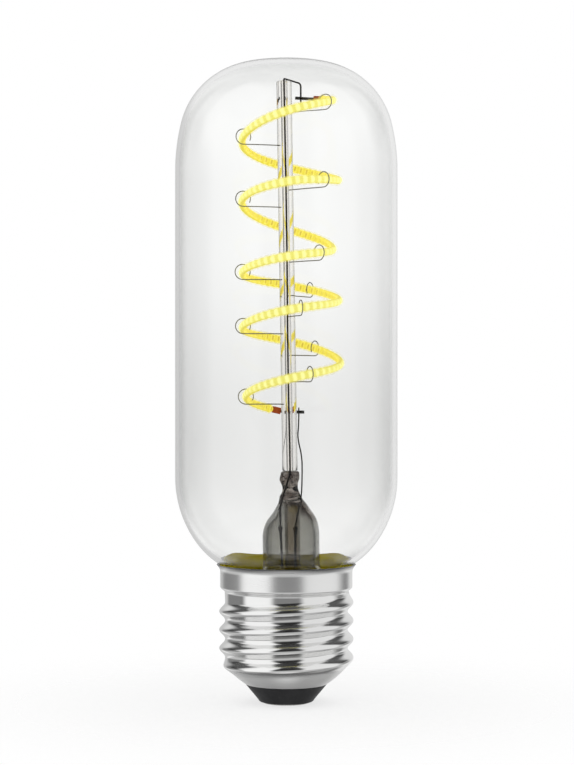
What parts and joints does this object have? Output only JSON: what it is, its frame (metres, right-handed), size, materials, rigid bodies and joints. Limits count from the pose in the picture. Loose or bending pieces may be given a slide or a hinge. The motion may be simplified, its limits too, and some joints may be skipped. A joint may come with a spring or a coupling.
{
  "type": "tubular light bulb",
  "caption": "Clear tubular filament lamp with a domed top, a glowing spiral strip on a glass post and a screw cap with a black insulator.",
  "frame": {"origin": "middle of the centre contact's face, at the foot of the lamp's axis", "axes": "+Z along the lamp's axis from the cap to the glass dome, -Y to the picture's viewer, +X right"},
  "size_m": [0.0436, 0.0436, 0.1263],
  "materials": {
    "clear_glass": "polished clear",
    "stem_glass": "polished clear",
    "lead_wire": "dull dark",
    "support_wire": "dull dark",
    "filament_coating": "glowing silicone",
    "filament_film": "satin",
    "terminal_metal": "dark satin",
    "shell_metal": "bright satin",
    "insulator_black": "flat black",
    "contact_metal": "dull tinned",
    "cement": "matt",
    "circuit_board": "satin",
    "can_sleeve": "satin sleeve",
    "ferrite": "matt",
    "package_black": "matt moulded",
    "resistor_body": "matt",
    "hookup_wire": "tinned"
  },
  "bodies": {
    "root": {"glass_bulb": "clear_glass", "stem_flare": "stem_glass", "stem_post": "stem_glass", "exhaust_tube": "stem_glass", "long_lead": "lead_wire", "short_lead": "lead_wire", "outer_lead_left": "lead_wire", "outer_lead_right": "lead_wire", "led_filament": "filament_coating", "top_tail": "filament_film", "bottom_tail": "filament_film", "top_terminal": "terminal_metal", "bottom_terminal": "terminal_metal", "cap_shell": "shell_metal", "cap_insulator": "insulator_black", "centre_contact": "contact_metal", "capping_cement": "cement", "driver_board": "circuit_board", "smoothing_capacitor": "can_sleeve", "choke_coil": "ferrite", "bridge_rectifier": "package_black", "driver_chip": "package_black", "fuse_resistor": "resistor_body", "shell_wire": "hookup_wire", "support_wire_01": "support_wire", "support_wire_02": "support_wire", "support_wire_03": "support_wire", "support_wire_04": "support_wire", "support_wire_05": "support_wire", "support_wire_06": "support_wire", "support_wire_07": "support_wire", "support_wire_08": "support_wire", "support_wire_09": "support_wire", "support_wire_10": "support_wire", "support_wire_11": "support_wire", "support_wire_12": "support_wire"}
  },
  "joints": []
}
